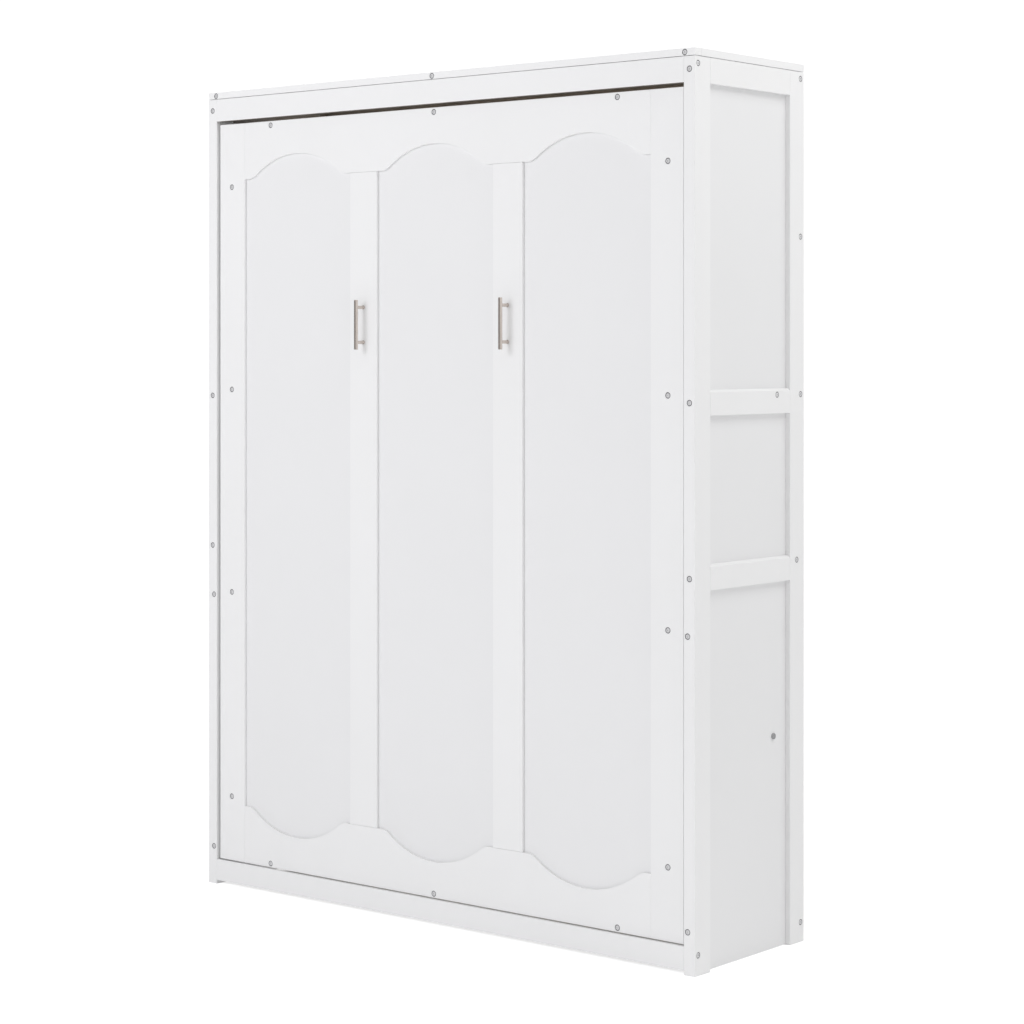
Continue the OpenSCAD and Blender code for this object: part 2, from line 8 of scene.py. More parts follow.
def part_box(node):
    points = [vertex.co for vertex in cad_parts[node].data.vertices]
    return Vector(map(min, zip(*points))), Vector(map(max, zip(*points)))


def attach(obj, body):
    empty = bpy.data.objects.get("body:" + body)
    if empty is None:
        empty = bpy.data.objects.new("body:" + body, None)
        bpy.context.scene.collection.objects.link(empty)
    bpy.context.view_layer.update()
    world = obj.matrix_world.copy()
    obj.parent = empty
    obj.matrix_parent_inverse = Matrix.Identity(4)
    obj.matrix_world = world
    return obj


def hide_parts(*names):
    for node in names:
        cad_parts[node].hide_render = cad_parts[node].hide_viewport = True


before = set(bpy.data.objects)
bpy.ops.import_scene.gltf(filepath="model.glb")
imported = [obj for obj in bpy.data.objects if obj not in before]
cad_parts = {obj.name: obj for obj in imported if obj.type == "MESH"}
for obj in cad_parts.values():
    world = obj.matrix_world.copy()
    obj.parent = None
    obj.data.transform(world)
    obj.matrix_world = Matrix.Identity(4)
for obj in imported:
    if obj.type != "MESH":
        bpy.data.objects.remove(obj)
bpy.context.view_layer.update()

scene = bpy.context.scene
mm = 0.001
SIDES = ("left", "right")

# ---------------------------------------------------------------------------
# Camera: level, looking past the bed's right front corner, with the picture lowered by a shift
# ---------------------------------------------------------------------------
PICTURE = 1024  # pixels across the square picture
FOCAL_PIXELS = 2478.19
HORIZON_PIXEL = 351.38  # row of the horizon, counted from the top
SENSOR = 36  # millimetres
CAMERA_AT = (4.3858, -5.2148, 1.5383)
CAMERA_TURN = 39.497  # degrees


def place_camera():
    lens = bpy.data.cameras.new("camera")
    lens.sensor_width = SENSOR
    lens.lens = SENSOR * FOCAL_PIXELS / PICTURE
    lens.shift_y = (HORIZON_PIXEL - PICTURE / 2) / PICTURE
    camera = bpy.data.objects.new("camera", lens)
    camera.location = CAMERA_AT
    camera.rotation_euler = (math.radians(90), 0, math.radians(CAMERA_TURN))
    scene.collection.objects.link(camera)
    scene.camera = camera


place_camera()


# ---------------------------------------------------------------------------
# Shader wiring
# ---------------------------------------------------------------------------
def plug(tree, socket, value):
    """Gives a socket a value, or links it from another node's output."""
    if isinstance(value, bpy.types.NodeSocket):
        tree.links.new(value, socket)
    else:
        socket.default_value = value


def add(tree, kind, sockets=None, **settings):
    """A shader node with its settings and what goes into its sockets."""
    made = tree.nodes.new(kind)
    for key, value in settings.items():
        setattr(made, key, value)
    for key, value in (sockets or {}).items():
        plug(tree, made.inputs[key], value)
    return made


def math_node(tree, operation, first, second=0.0, clamp=False):
    sockets = {0: first, 1: second}
    return add(tree, "ShaderNodeMath", sockets, operation=operation, use_clamp=clamp).outputs[0]


def times(tree, first, second):
    return math_node(tree, "MULTIPLY", first, second)


def stretch(tree, place, factors):
    """A place scaled by its own factor along each axis."""
    return add(tree, "ShaderNodeVectorMath", {0: place, 1: factors}, operation="MULTIPLY").outputs[0]


def remap(tree, value, low, high, to_low, to_high):
    sockets = {"Value": value, "From Min": low, "From Max": high, "To Min": to_low, "To Max": to_high}
    return add(tree, "ShaderNodeMapRange", sockets).outputs["Result"]


def noise(tree, place, scale, detail=2.0, roughness=0.5):
    sockets = {"Vector": place, "Scale": scale, "Detail": detail, "Roughness": roughness}
    return add(tree, "ShaderNodeTexNoise", sockets).outputs["Fac"]


def blend_colours(tree, share, first, second):
    return add(tree, "ShaderNodeMix", {0: share, 6: first, 7: second}, data_type="RGBA").outputs[2]


def lay_over(tree, mask, most, below, above):
    """Lays a colour over another where a mask says so; most is its largest share."""
    return blend_colours(tree, times(tree, mask, most), below, above)


def new_effect(name, inputs, outputs):
    """A shader node group with named inputs (name, kind, value) and outputs (name, kind)."""
    effect = bpy.data.node_groups.new(name, "ShaderNodeTree")
    for label, kind, value in inputs:
        socket = effect.interface.new_socket(label, in_out="INPUT", socket_type=kind)
        if value is not None:
            socket.default_value = value
    for label, kind in outputs:
        effect.interface.new_socket(label, in_out="OUTPUT", socket_type=kind)
    return effect, effect.nodes.new("NodeGroupInput").outputs, effect.nodes.new("NodeGroupOutput").inputs


def use(tree, effect, **sockets):
    """Places an effect in a material. Underscores in a socket's name stand for spaces."""
    made = tree.nodes.new("ShaderNodeGroup")
    made.node_tree = effect
    for key, value in sockets.items():
        plug(tree, made.inputs[key.replace("_", " ")], value)
    return made.outputs


# ---------------------------------------------------------------------------
# Effects that several finishes share
# ---------------------------------------------------------------------------
NUMBER = "NodeSocketFloat"
PLACE = "NodeSocketVector"


def make_roller_skin():
    """The fine stipple that a roller leaves in paint, and broad patches where the coat is fuller."""
    skin, given, out = new_effect(
        "roller_skin",
        [("Place", PLACE, None), ("Stipple", NUMBER, 420.0), ("Patch", NUMBER, 2.2)],
        [("Height", NUMBER), ("Patches", NUMBER)],
    )
    stipple = noise(skin, given["Place"], given["Stipple"], detail=3.0, roughness=0.55)
    along_board = stretch(skin, given["Place"], (0.06, 1.0, 1.0))
    drag = noise(skin, along_board, given["Stipple"])
    skin.links.new(math_node(skin, "ADD", stipple, times(skin, drag, 0.5)), out["Height"])
    skin.links.new(noise(skin, given["Place"], given["Patch"], detail=3.0, roughness=0.6), out["Patches"])
    return skin


def make_timber_figure():
    """Growth rings and fine fibres along the first axis of the board's own coordinates."""
    timber, given, out = new_effect(
        "timber_figure",
        [("Place", PLACE, None), ("Rings", NUMBER, 9.0), ("Fibres", NUMBER, 900.0)],
        [("Rings", NUMBER), ("Fibres", NUMBER), ("Height", NUMBER)],
    )
    swell = noise(timber, stretch(timber, given["Place"], (0.9, 11.0, 11.0)), 1.0, roughness=0.45)
    bands = math_node(timber, "FRACT", times(timber, swell, given["Rings"]))
    late_wood = math_node(timber, "POWER", bands, 2.2)
    fibre_place = stretch(timber, given["Place"], (0.03, 1.0, 1.0))
    fibres = noise(timber, fibre_place, given["Fibres"], detail=3.0, roughness=0.6)
    timber.links.new(late_wood, out["Rings"])
    timber.links.new(fibres, out["Fibres"])
    timber.links.new(math_node(timber, "ADD", times(timber, late_wood, 0.6), fibres), out["Height"])
    return timber


def make_crevice_shade():
    """Mask for painted shade: 1 deep in corners and where parts meet, where little open sky reaches, 0 in the
    open.
    """
    crevice_shade, given, out = new_effect("crevice_shade", [("Reach", NUMBER, 0.01)], [("Mask", NUMBER)])
    open_sky = add(crevice_shade, "ShaderNodeAmbientOcclusion", {"Distance": given["Reach"]}, samples=6)
    shut = math_node(crevice_shade, "SUBTRACT", 1.0, open_sky.outputs["AO"], clamp=True)
    crevice_shade.links.new(math_node(crevice_shade, "POWER", shut, 1.5), out["Mask"])
    return crevice_shade


def make_edge_rub():
    """1 along edges that hands and cloths reach, 0 on the flats."""
    rub, given, out = new_effect(
        "edge_rub", [("Place", PLACE, None), ("Reach", NUMBER, 0.001)], [("Mask", NUMBER)]
    )
    rounded = add(rub, "ShaderNodeBevel", {"Radius": given["Reach"]}, samples=4).outputs[0]
    flat = add(rub, "ShaderNodeNewGeometry").outputs["Normal"]
    across = add(rub, "ShaderNodeVectorMath", {0: rounded, 1: flat}, operation="DOT_PRODUCT")
    turned_away = math_node(rub, "SUBTRACT", 1.0, across.outputs["Value"], clamp=True)
    broken_up = remap(rub, noise(rub, given["Place"], 60.0, detail=3.0), 0.35, 0.65, 0.3, 1.0)
    on_edges = math_node(rub, "MULTIPLY", turned_away, 6.0, clamp=True)
    rub.links.new(times(rub, on_edges, broken_up), out["Mask"])
    return rub


def make_brushing():
    """Fine lines of an abrasive belt across the first axis, as tone and height."""
    brushing, given, out = new_effect(
        "brushing",
        [("Place", PLACE, None), ("Lines", NUMBER, 4000.0)],
        [("Tone", NUMBER), ("Height", NUMBER)],
    )
    drawn_out = stretch(brushing, given["Place"], (1.0, 0.02, 0.02))
    lines = noise(brushing, drawn_out, given["Lines"], roughness=0.7)
    smudges = noise(brushing, given["Place"], 90.0)
    tone = math_node(brushing, "ADD", times(brushing, lines, 0.7), times(brushing, smudges, 0.3))
    brushing.links.new(tone, out["Tone"])
    brushing.links.new(lines, out["Height"])
    return brushing


roller_skin = make_roller_skin()
timber_figure = make_timber_figure()
crevice_shade = make_crevice_shade()
edge_rub = make_edge_rub()
brushing = make_brushing()


# ---------------------------------------------------------------------------
# Finishes
# ---------------------------------------------------------------------------
def new_finish(name, **sockets):
    """A material with one Principled shader. Returns the material, its tree and the shader."""
    finish = bpy.data.materials.new(name)
    finish.use_nodes = True
    tree = finish.node_tree
    tree.nodes.clear()
    shader = tree.nodes.new("ShaderNodeBsdfPrincipled")
    for key, value in sockets.items():
        shader.inputs[key.replace("_", " ")].default_value = value
    output = tree.nodes.new("ShaderNodeOutputMaterial")
    tree.links.new(shader.outputs["BSDF"], output.inputs["Surface"])
    return finish, tree, shader


def wire(tree, shader, colour, roughness, height, relief, strength):
    """Joins a finish's colour, roughness and relief to its shader; relief is in metres."""
    tree.links.new(colour, shader.inputs["Base Color"])
    tree.links.new(roughness, shader.inputs["Roughness"])
    raised = add(tree, "ShaderNodeBump", {"Height": height, "Distance": relief, "Strength": strength})
    tree.links.new(raised.outputs["Normal"], shader.inputs["Normal"])


def board_place(tree):
    """Each board's own coordinates: along, across, through."""
    return add(tree, "ShaderNodeAttribute", attribute_name="board").outputs["Vector"]


def frame_place(tree):
    return add(tree, "ShaderNodeTexCoord").outputs["Object"]


def darker(colour, share):
    return tuple(channel * share for channel in colour[:3]) + (1,)


def make_white_paint(name, full, thin, painted_shade, grain):
    """Satin white paint over timber or board, with painted shade in its corners; grain is how much of the
    timber shows through.
    """
    finish, tree, shader = new_finish(name, Specular_IOR_Level=0.35, IOR=1.47)
    place = board_place(tree)
    skin = use(tree, roller_skin, Place=place, Stipple=420.0, Patch=2.2)
    timber = use(tree, timber_figure, Place=place, Rings=7.0, Fibres=500.0)
    corner_shade = use(tree, crevice_shade, Reach=5 * mm)
    rub = use(tree, edge_rub, Place=place, Reach=1.2 * mm)
    colour = blend_colours(tree, remap(tree, skin["Patches"], 0.3, 0.7, 0.0, 1.0), full, thin)
    colour = lay_over(tree, rub["Mask"], 0.35, colour, thin)
    # Painted shade: greyer in corners and where parts meet.
    colour = lay_over(tree, corner_shade["Mask"], 0.15, colour, painted_shade)
    roughness = remap(tree, skin["Patches"], 0.25, 0.75, 0.36, 0.48)
    height = math_node(tree, "ADD", skin["Height"], times(tree, timber["Height"], grain))
    wire(tree, shader, colour, roughness, height, relief=0.06 * mm, strength=0.7)
    return finish


def make_pine():
    """Planed pine with darker late wood, pale fibres and a few knots."""
    early_wood, late_wood = (0.80, 0.62, 0.40, 1), (0.66, 0.44, 0.22, 1)
    pale_fibre, brown_knot = (0.87, 0.72, 0.52, 1), (0.30, 0.15, 0.06, 1)
    # rubbed edges, then the brown of the painted shade in corners
    rubbed, painted_shade = (0.90, 0.76, 0.57, 1), (0.34, 0.23, 0.13, 1)
    finish, tree, shader = new_finish("planed_pine", Specular_IOR_Level=0.3)
    place = board_place(tree)
    timber = use(tree, timber_figure, Place=place, Rings=8.0, Fibres=800.0)
    rub = use(tree, edge_rub, Place=place, Reach=1.5 * mm)
    corner_shade = use(tree, crevice_shade, Reach=10 * mm)
    cells = add(tree, "ShaderNodeTexVoronoi", {"Vector": stretch(tree, place, (2.6, 9.0, 9.0)), "Scale": 1.0})
    off_knot = remap(tree, cells.outputs["Distance"], 0.04, 0.1, 0.0, 1.0)
    knot = math_node(tree, "SUBTRACT", 1.0, off_knot, clamp=True)
    colour = blend_colours(tree, timber["Rings"], early_wood, late_wood)
    colour = blend_colours(tree, remap(tree, timber["Fibres"], 0.35, 0.7, 0.0, 0.35), colour, pale_fibre)
    colour = lay_over(tree, knot, 0.8, colour, brown_knot)
    colour = lay_over(tree, rub["Mask"], 0.3, colour, rubbed)
    # Painted shade: browner in corners and where parts meet.
    colour = lay_over(tree, corner_shade["Mask"], 0.4, colour, painted_shade)
    roughness = remap(tree, timber["Fibres"], 0.3, 0.7, 0.5, 0.68)
    wire(tree, shader, colour, roughness, timber["Height"], relief=0.15 * mm, strength=0.6)
    return finish


def make_shade_dark_fibreboard():
    """Raw fibreboard: short fibres in every direction, with a darker sawn skin in patches. Its dark tone is
    partly painted shade, for faces that lie in shade inside the cabinet.
    """
    # These tones are dark partly as painted shade for the inside of the cabinet.
    dark_fibre, pale_fibre = (0.25, 0.225, 0.20, 1), (0.36, 0.325, 0.29, 1)
    sawn_skin, rubbed = (0.22, 0.20, 0.175, 1), (0.42, 0.38, 0.33, 1)
    finish, tree, shader = new_finish("raw_fibreboard", Specular_IOR_Level=0.25)
    place = board_place(tree)
    fibres = noise(tree, place, 700.0, detail=4.0, roughness=0.7)
    patches = noise(tree, place, 5.0, detail=3.0, roughness=0.6)
    rub = use(tree, edge_rub, Place=place, Reach=1.2 * mm)
    colour = blend_colours(tree, remap(tree, fibres, 0.35, 0.65, 0.0, 1.0), dark_fibre, pale_fibre)
    colour = blend_colours(tree, remap(tree, patches, 0.4, 0.7, 0.0, 0.3), colour, sawn_skin)
    colour = lay_over(tree, rub["Mask"], 0.4, colour, rubbed)
    roughness = remap(tree, fibres, 0.3, 0.7, 0.62, 0.8)
    wire(tree, shader, colour, roughness, fibres, relief=0.08 * mm, strength=0.6)
    return finish


def make_metal(name, colour, worn, roughness, lines, relief, bare=1.0):
    """Bare or plated metal with belt lines, brighter where it is rubbed and darker in its corners as painted
    shade.

    bare is the share of bright metal; the rest is a matt plating.
    """
    finish, tree, shader = new_finish(name, Metallic=bare)
    place = frame_place(tree)
    belt = use(tree, brushing, Place=place, Lines=lines)
    rub = use(tree, edge_rub, Place=place, Reach=0.6 * mm)
    corner_shade = use(tree, crevice_shade, Reach=4 * mm)
    tone = blend_colours(tree, remap(tree, belt["Tone"], 0.3, 0.7, 0.0, 1.0), colour, worn)
    tone = lay_over(tree, rub["Mask"], 0.5, tone, worn)
    # Painted shade: darker in corners and where parts meet.
    tone = lay_over(tree, corner_shade["Mask"], 0.6, tone, darker(colour, 0.45))
    rough = remap(tree, belt["Tone"], 0.3, 0.7, roughness - 0.05, roughness + 0.08)
    wire(tree, shader, tone, rough, belt["Height"], relief, strength=0.5)
    return finish


def make_coat(name, colour, rubbed, roughness, grit, relief, coat=0.0):
    """Powder coat, enamel or rubber: one colour with a fine skin, lighter along its edges and with painted
    shade in its corners.
    """
    finish, tree, shader = new_finish(name, Coat_Weight=coat, Coat_Roughness=0.12)
    place = frame_place(tree)
    skin = use(tree, roller_skin, Place=place, Stipple=grit, Patch=14.0)
    rub = use(tree, edge_rub, Place=place, Reach=0.8 * mm)
    corner_shade = use(tree, crevice_shade, Reach=6 * mm)
    tone = blend_colours(tree, remap(tree, skin["Patches"], 0.3, 0.7, 0.0, 0.25), colour, rubbed)
    tone = lay_over(tree, rub["Mask"], 0.45, tone, rubbed)
    # Painted shade: darker in corners and where parts meet.
    tone = lay_over(tree, corner_shade["Mask"], 0.4, tone, darker(colour, 0.5))
    rough = remap(tree, skin["Patches"], 0.3, 0.7, roughness - 0.04, roughness + 0.06)
    wire(tree, shader, tone, rough, skin["Height"], relief, strength=0.6)
    return finish


timber_paint = make_white_paint(
    "white_paint_on_timber",
    full=(0.912, 0.912, 0.914, 1),
    thin=(0.897, 0.897, 0.898, 1),
    # grey of the painted shade in corners
    painted_shade=(0.60, 0.60, 0.60, 1),
    grain=0.35,
)
board_paint = make_white_paint(
    "white_paint_on_board",
    full=(0.872, 0.872, 0.877, 1),
    thin=(0.862, 0.862, 0.867, 1),
    # grey of the painted shade in corners
    painted_shade=(0.60, 0.60, 0.61, 1),
    grain=0.0,
)
planed_pine = make_pine()
raw_fibreboard = make_shade_dark_fibreboard()
plated_steel = make_metal(
    "zinc_plated_steel",
    colour=(0.56, 0.56, 0.57, 1),
    worn=(0.66, 0.66, 0.67, 1),
    roughness=0.34,
    lines=1800.0,
    relief=0.02 * mm,
)
screw_steel = make_metal(
    "screw_steel",
    colour=(0.80, 0.80, 0.81, 1),
    worn=(0.86, 0.86, 0.87, 1),
    roughness=0.42,
    lines=3000.0,
    relief=0.01 * mm,
    bare=0.35,
)
black_steel = make_metal(
    "blackened_steel",
    colour=(0.36, 0.36, 0.37, 1),
    worn=(0.42, 0.42, 0.43, 1),
    roughness=0.5,
    lines=2600.0,
    relief=0.01 * mm,
    bare=0.5,
)
# Dark steel for the washers round the screw heads, dark as painted shade for the gap round each head.
shade_dark_steel = make_metal(
    "shade_dark_steel",
    colour=(0.20, 0.20, 0.21, 1),
    worn=(0.25, 0.25, 0.26, 1),
    roughness=0.6,
    lines=3000.0,
    relief=0.01 * mm,
    bare=0.2,
)
brushed_nickel = make_metal(
    "brushed_nickel",
    colour=(0.66, 0.59, 0.54, 1),
    worn=(0.72, 0.65, 0.60, 1),
    roughness=0.18,
    lines=5200.0,
    relief=0.01 * mm,
)
polished_rod = make_metal(
    "ground_steel_rod",
    colour=(0.66, 0.66, 0.67, 1),
    worn=(0.72, 0.72, 0.73, 1),
    roughness=0.14,
    lines=6000.0,
    relief=0.004 * mm,
)
grey_powder_coat = make_coat(
    "grey_powder_coat",
    colour=(0.42, 0.43, 0.44, 1),
    rubbed=(0.55, 0.56, 0.57, 1),
    roughness=0.42,
    grit=900.0,
    relief=0.08 * mm,
)
black_enamel = make_coat(
    "black_enamel",
    colour=(0.012, 0.012, 0.013, 1),
    rubbed=(0.05, 0.05, 0.055, 1),
    roughness=0.22,
    grit=500.0,
    relief=0.02 * mm,
    coat=0.6,
)
black_rubber = make_coat(
    "black_rubber",
    colour=(0.02, 0.02, 0.02, 1),
    rubbed=(0.06, 0.06, 0.06, 1),
    roughness=0.72,
    grit=1400.0,
    relief=0.06 * mm,
)

# ---------------------------------------------------------------------------
# Making pieces
# ---------------------------------------------------------------------------
GRAIN_SHIFT = (3.71, 1.37, 0.59)  # from one board's grain to the next one's
HARD_EDGE = 35  # degrees; rounder edges are shaded smooth
WELD = 1e-6


def box_of(points):
    """The low and the high corner of the box round some points."""
    low = Vector(min(point[axis] for point in points) for axis in range(3))
    high = Vector(max(point[axis] for point in points) for axis in range(3))
    return low, high


def longest_first(low, high):
    """The three axes of a box, from its length to its thickness."""
    return sorted(range(3), key=lambda axis: low[axis] - high[axis])


def set_board_coordinates(mesh, index):
    """Stores each point's place along, across and through its board, so that no two boards match."""
    low, high = box_of([vertex.co for vertex in mesh.vertices])
    order = longest_first(low, high)
    values = []
    for vertex in mesh.vertices:
        for axis, shift in zip(order, GRAIN_SHIFT):
            values.append(vertex.co[axis] - low[axis] + index * shift)
    layer = mesh.attributes.new("board", "FLOAT_VECTOR", "POINT")
    layer.data.foreach_set("vector", values)


boards_made = 0


def finish_piece(name, mesh, finish, body, stands_for=(), is_board=False, smooth_below=HARD_EDGE):
    """Links a mesh as a piece of the object: rounded edges shaded smooth, flats kept flat."""
    global boards_made
    mesh.name = name
    mesh.materials.clear()
    mesh.materials.append(finish)
    mesh.shade_smooth()
    mesh.set_sharp_from_angle(angle=math.radians(smooth_below))
    if is_board:
        boards_made += 1
        if "board" not in mesh.attributes:
            set_board_coordinates(mesh, boards_made)
    piece = bpy.data.objects.new(name, mesh)
    scene.collection.objects.link(piece)
    flats = piece.modifiers.new("flats", "WEIGHTED_NORMAL")
    flats.keep_sharp = True
    flats.weight = 80
    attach(piece, body)
    if stands_for:
        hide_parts(*stands_for)
    return piece


def mesh_from(bm):
    mesh = bpy.data.meshes.new("mesh")
    bmesh.ops.recalc_face_normals(bm, faces=bm.faces)
    bm.to_mesh(mesh)
    bm.free()
    return mesh


def round_off(bm, geometry, ease):
    bmesh.ops.bevel(
        bm, geom=geometry, offset=ease, segments=3, profile=0.5, affect="EDGES", clamp_overlap=True
    )


def add_block(bm, low, high, ease):
    """A block between two corners with all its edges eased."""
    corners = []
    for x in (low[0], high[0]):
        for y in (low[1], high[1]):
            corners += [bm.verts.new((x, y, low[2])), bm.verts.new((x, y, high[2]))]
    for a, b, c, d in ((0, 1, 3, 2), (4, 6, 7, 5), (0, 4, 5, 1), (2, 3, 7, 6), (0, 2, 6, 4), (1, 5, 7, 3)):
        bm.faces.new((corners[a], corners[b], corners[c], corners[d]))
    edges = list({edge for corner in corners for edge in corner.link_edges})
    round_off(bm, edges + corners, ease)


def add_slab(bm, outline, to_frame, thick, ease, ease_corners=False):
    """A slab from an outline of (u, v) points, its rims eased.

    to_frame turns (u, v, depth) into a place.
    """
    front = [bm.verts.new(to_frame(u, v, 0.0)) for u, v in outline]
    back = [bm.verts.new(to_frame(u, v, thick)) for u, v in outline]
    bm.faces.new(front)
    bm.faces.new(list(reversed(back)))
    rims = []
    for i in range(len(outline)):
        j = (i + 1) % len(outline)
        side = bm.faces.new((front[j], front[i], back[i], back[j]))
        for edge in side.edges:
            on_rim = set(edge.verts) in ({front[i], front[j]}, {back[i], back[j]})
            if edge not in rims and (on_rim or ease_corners):
                rims.append(edge)
    bmesh.ops.recalc_face_normals(bm, faces=bm.faces)
    round_off(bm, rims, ease)


def arc(centre, radius, start, end, steps):
    """Points of an arc in degrees, both ends included."""
    points = []
    for i in range(steps + 1):
        angle = math.radians(start + (end - start) * i / steps)
        points.append((centre[0] + radius * math.cos(angle), centre[1] + radius * math.sin(angle)))
    return points


def add_turned(bm, rings, place, steps=48):
    """A turned form about place's Z axis.

    Each ring is (radius, height), or (radius, height, "hex") for a hexagon. A radius of 0 closes the form.
    """
    sixth = math.pi / 3
    rows = []
    for radius, height, *shape in rings:
        if radius == 0:
            rows.append([bm.verts.new(place @ Vector((0, 0, height)))])
            continue
        row = []
        for step in range(steps):
            angle = 2 * math.pi * step / steps
            reach = radius / math.cos((angle % sixth) - sixth / 2) if shape else radius
            point = Vector((reach * math.cos(angle), reach * math.sin(angle), height))
            row.append(bm.verts.new(place @ point))
        rows.append(row)
    for lower, upper in zip(rows, rows[1:]):
        for step in range(steps):
            following = (step + 1) % steps
            quad = []
            for row, at in ((lower, step), (lower, following), (upper, following), (upper, step)):
                vertex = row[at % len(row)]
                if vertex not in quad:
                    quad.append(vertex)
            if len(quad) > 2:
                bm.faces.new(quad)


def facing(point, direction):
    """A place whose Z axis points in a direction."""
    turn = Vector(direction).to_track_quat("Z", "Y").to_matrix().to_4x4()
    return Matrix.Translation(point) @ turn


def group_middle(group):
    return sum(group, Vector()) / len(group)


def islands(node):
    """The separate solids of a CAD node, each as a list of points."""
    bm = bmesh.new()
    bm.from_mesh(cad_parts[node].data)
    bmesh.ops.remove_doubles(bm, verts=bm.verts, dist=WELD)
    left, found = set(bm.verts), []
    while left:
        reach, group = [left.pop()], []
        while reach:
            vertex = reach.pop()
            group.append(vertex.co.copy())
            for edge in vertex.link_edges:
                other = edge.other_vert(vertex)
                if other in left:
                    left.remove(other)
                    reach.append(other)
        found.append(group)
    bm.free()
    return sorted(found, key=lambda group: tuple(round(c, 4) for c in group_middle(group)))


def screw_places(node):
    """(head centre, outward direction, length) of each screw in a CAD node."""
    found = []
    for group in islands(node):
        low, high = box_of(group)
        size = high - low
        axis = max(range(3), key=lambda k: size[k])
        middle = (low + high) / 2
        across = [k for k in range(3) if k != axis]
        widest = max(group, key=lambda point: sum((point[k] - middle[k]) ** 2 for k in across))
        outward = Vector((0, 0, 0))
        outward[axis] = 1 if widest[axis] > middle[axis] else -1
        head = middle.copy()
        head[axis] = high[axis] if outward[axis] > 0 else low[axis]
        found.append((head, outward, size[axis]))
    return found


SEAT_RADIUS = 8.0 * mm
SEAT_DEPTH = 2.4 * mm
cabinet_screw_places = screw_places("cabinet_screws")
front_screw_places = screw_places("front_screws")


def cut_screw_seats(mesh, low, high):
    """Sinks the seats of the screws whose heads lie in a board's faces."""
    margin = 0.6 * mm
    above = 4 * mm
    inside = [
        (head, outward)
        for head, outward, _ in cabinet_screw_places + front_screw_places
        if all(low[k] - margin <= head[k] <= high[k] + margin for k in range(3))
    ]
    if not inside:
        return mesh
    bm = bmesh.new()
    for head, outward in inside:
        rings = [(0, -SEAT_DEPTH), (SEAT_RADIUS, -SEAT_DEPTH), (SEAT_RADIUS, above), (0, above)]
        add_turned(bm, rings, facing(head, outward), 40)
    cutter = bpy.data.objects.new("cutter", mesh_from(bm))
    workpiece = bpy.data.objects.new("workpiece", mesh)
    for made in (cutter, workpiece):
        scene.collection.objects.link(made)
    cut = workpiece.modifiers.new("seats", "BOOLEAN")
    cut.object = cutter
    cut.operation = "DIFFERENCE"
    cut.solver = "EXACT"
    bpy.context.view_layer.update()
    depsgraph = bpy.context.evaluated_depsgraph_get()
    result = bpy.data.meshes.new_from_object(workpiece.evaluated_get(depsgraph))
    for made in (cutter, workpiece):
        bpy.data.objects.remove(made)
    return result


def painted_piece(node, mesh, body):
    return finish_piece("painted_" + node, mesh, timber_paint, body, [node], is_board=True)


def board(node, body, ease, finish=timber_paint, slot="white_paint", short_below=0.0, short_above=0.0):
    """A straight board with eased edges for a CAD node, short of it where a joint shows as a line."""
    low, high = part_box(node)
    bm = bmesh.new()
    add_block(bm, low + Vector((0, 0, short_below)), high - Vector((0, 0, short_above)), ease)
    mesh = cut_screw_seats(mesh_from(bm), low, high)
    kind = "painted_" if slot == "white_paint" else "raw_"
    return finish_piece(kind + node, mesh, finish, body, [node], is_board=True)


# ---------------------------------------------------------------------------
# Cabinet
# ---------------------------------------------------------------------------
POST_EASE = 1.2 * mm
RAIL_EASE = 0.6 * mm
PANEL_EASE = 0.4 * mm
SIDE_BOARD_EASE = 0.8 * mm
CAP_STRIP_EASE = 1.0 * mm
CAP_BOARD_EASE = 0.3 * mm
REAR_EASE = 1.2 * mm
BASE_EASE = 1.0 * mm
CAP_LINE = 1.2 * mm  # dark joint under the cap
RAIL_CHAMFER = 6 * mm
DOWN = Vector((0, 0, -1))


def give_face_painted_shade(piece, direction):
    """Gives a piece's face in one direction the dark fibreboard finish: painted shade for a face that lies in
    shade inside the cabinet.
    """
    piece.data.materials.append(raw_fibreboard)
    for face in piece.data.polygons:
        if face.normal.dot(direction) > 0.9:
            face.material_index = 1


def make_side_rail(side, level):
    """A rail under a side panel, its upper outer edge chamfered."""
    node = f"{side}_{level}_side_rail"
    low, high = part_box(node)
    outer, inner, inward = (low.x, high.x, 1) if side == "left" else (high.x, low.x, -1)
    outline = [
        (inner, low.z),
        (outer, low.z),
        (outer, high.z - RAIL_CHAMFER),
        (outer + inward * RAIL_CHAMFER, high.z),
        (inner, high.z),
    ]

    def to_frame(u, v, depth):
        return (u, low.y + depth, v)

    bm = bmesh.new()
    add_slab(bm, outline, to_frame, high.y - low.y, RAIL_EASE, ease_corners=True)
    painted_piece(node, cut_screw_seats(mesh_from(bm), low, high), "cabinet")


def make_base_rail():
    """Rail with its rear top edge bevelled."""
    low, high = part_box("base_rail")
    bevel_depth, bevel_height = 18 * mm, 15 * mm
    outline = [
        (low.y, low.z),
        (high.y, low.z),
        (high.y, high.z - bevel_height),
        (high.y - bevel_depth, high.z),
        (low.y, high.z),
    ]

    def to_frame(u, v, depth):
        return (low.x + depth, u, v)

    bm = bmesh.new()
    add_slab(bm, outline, to_frame, high.x - low.x, BASE_EASE, ease_corners=True)
    painted_piece("base_rail", mesh_from(bm), "cabinet")


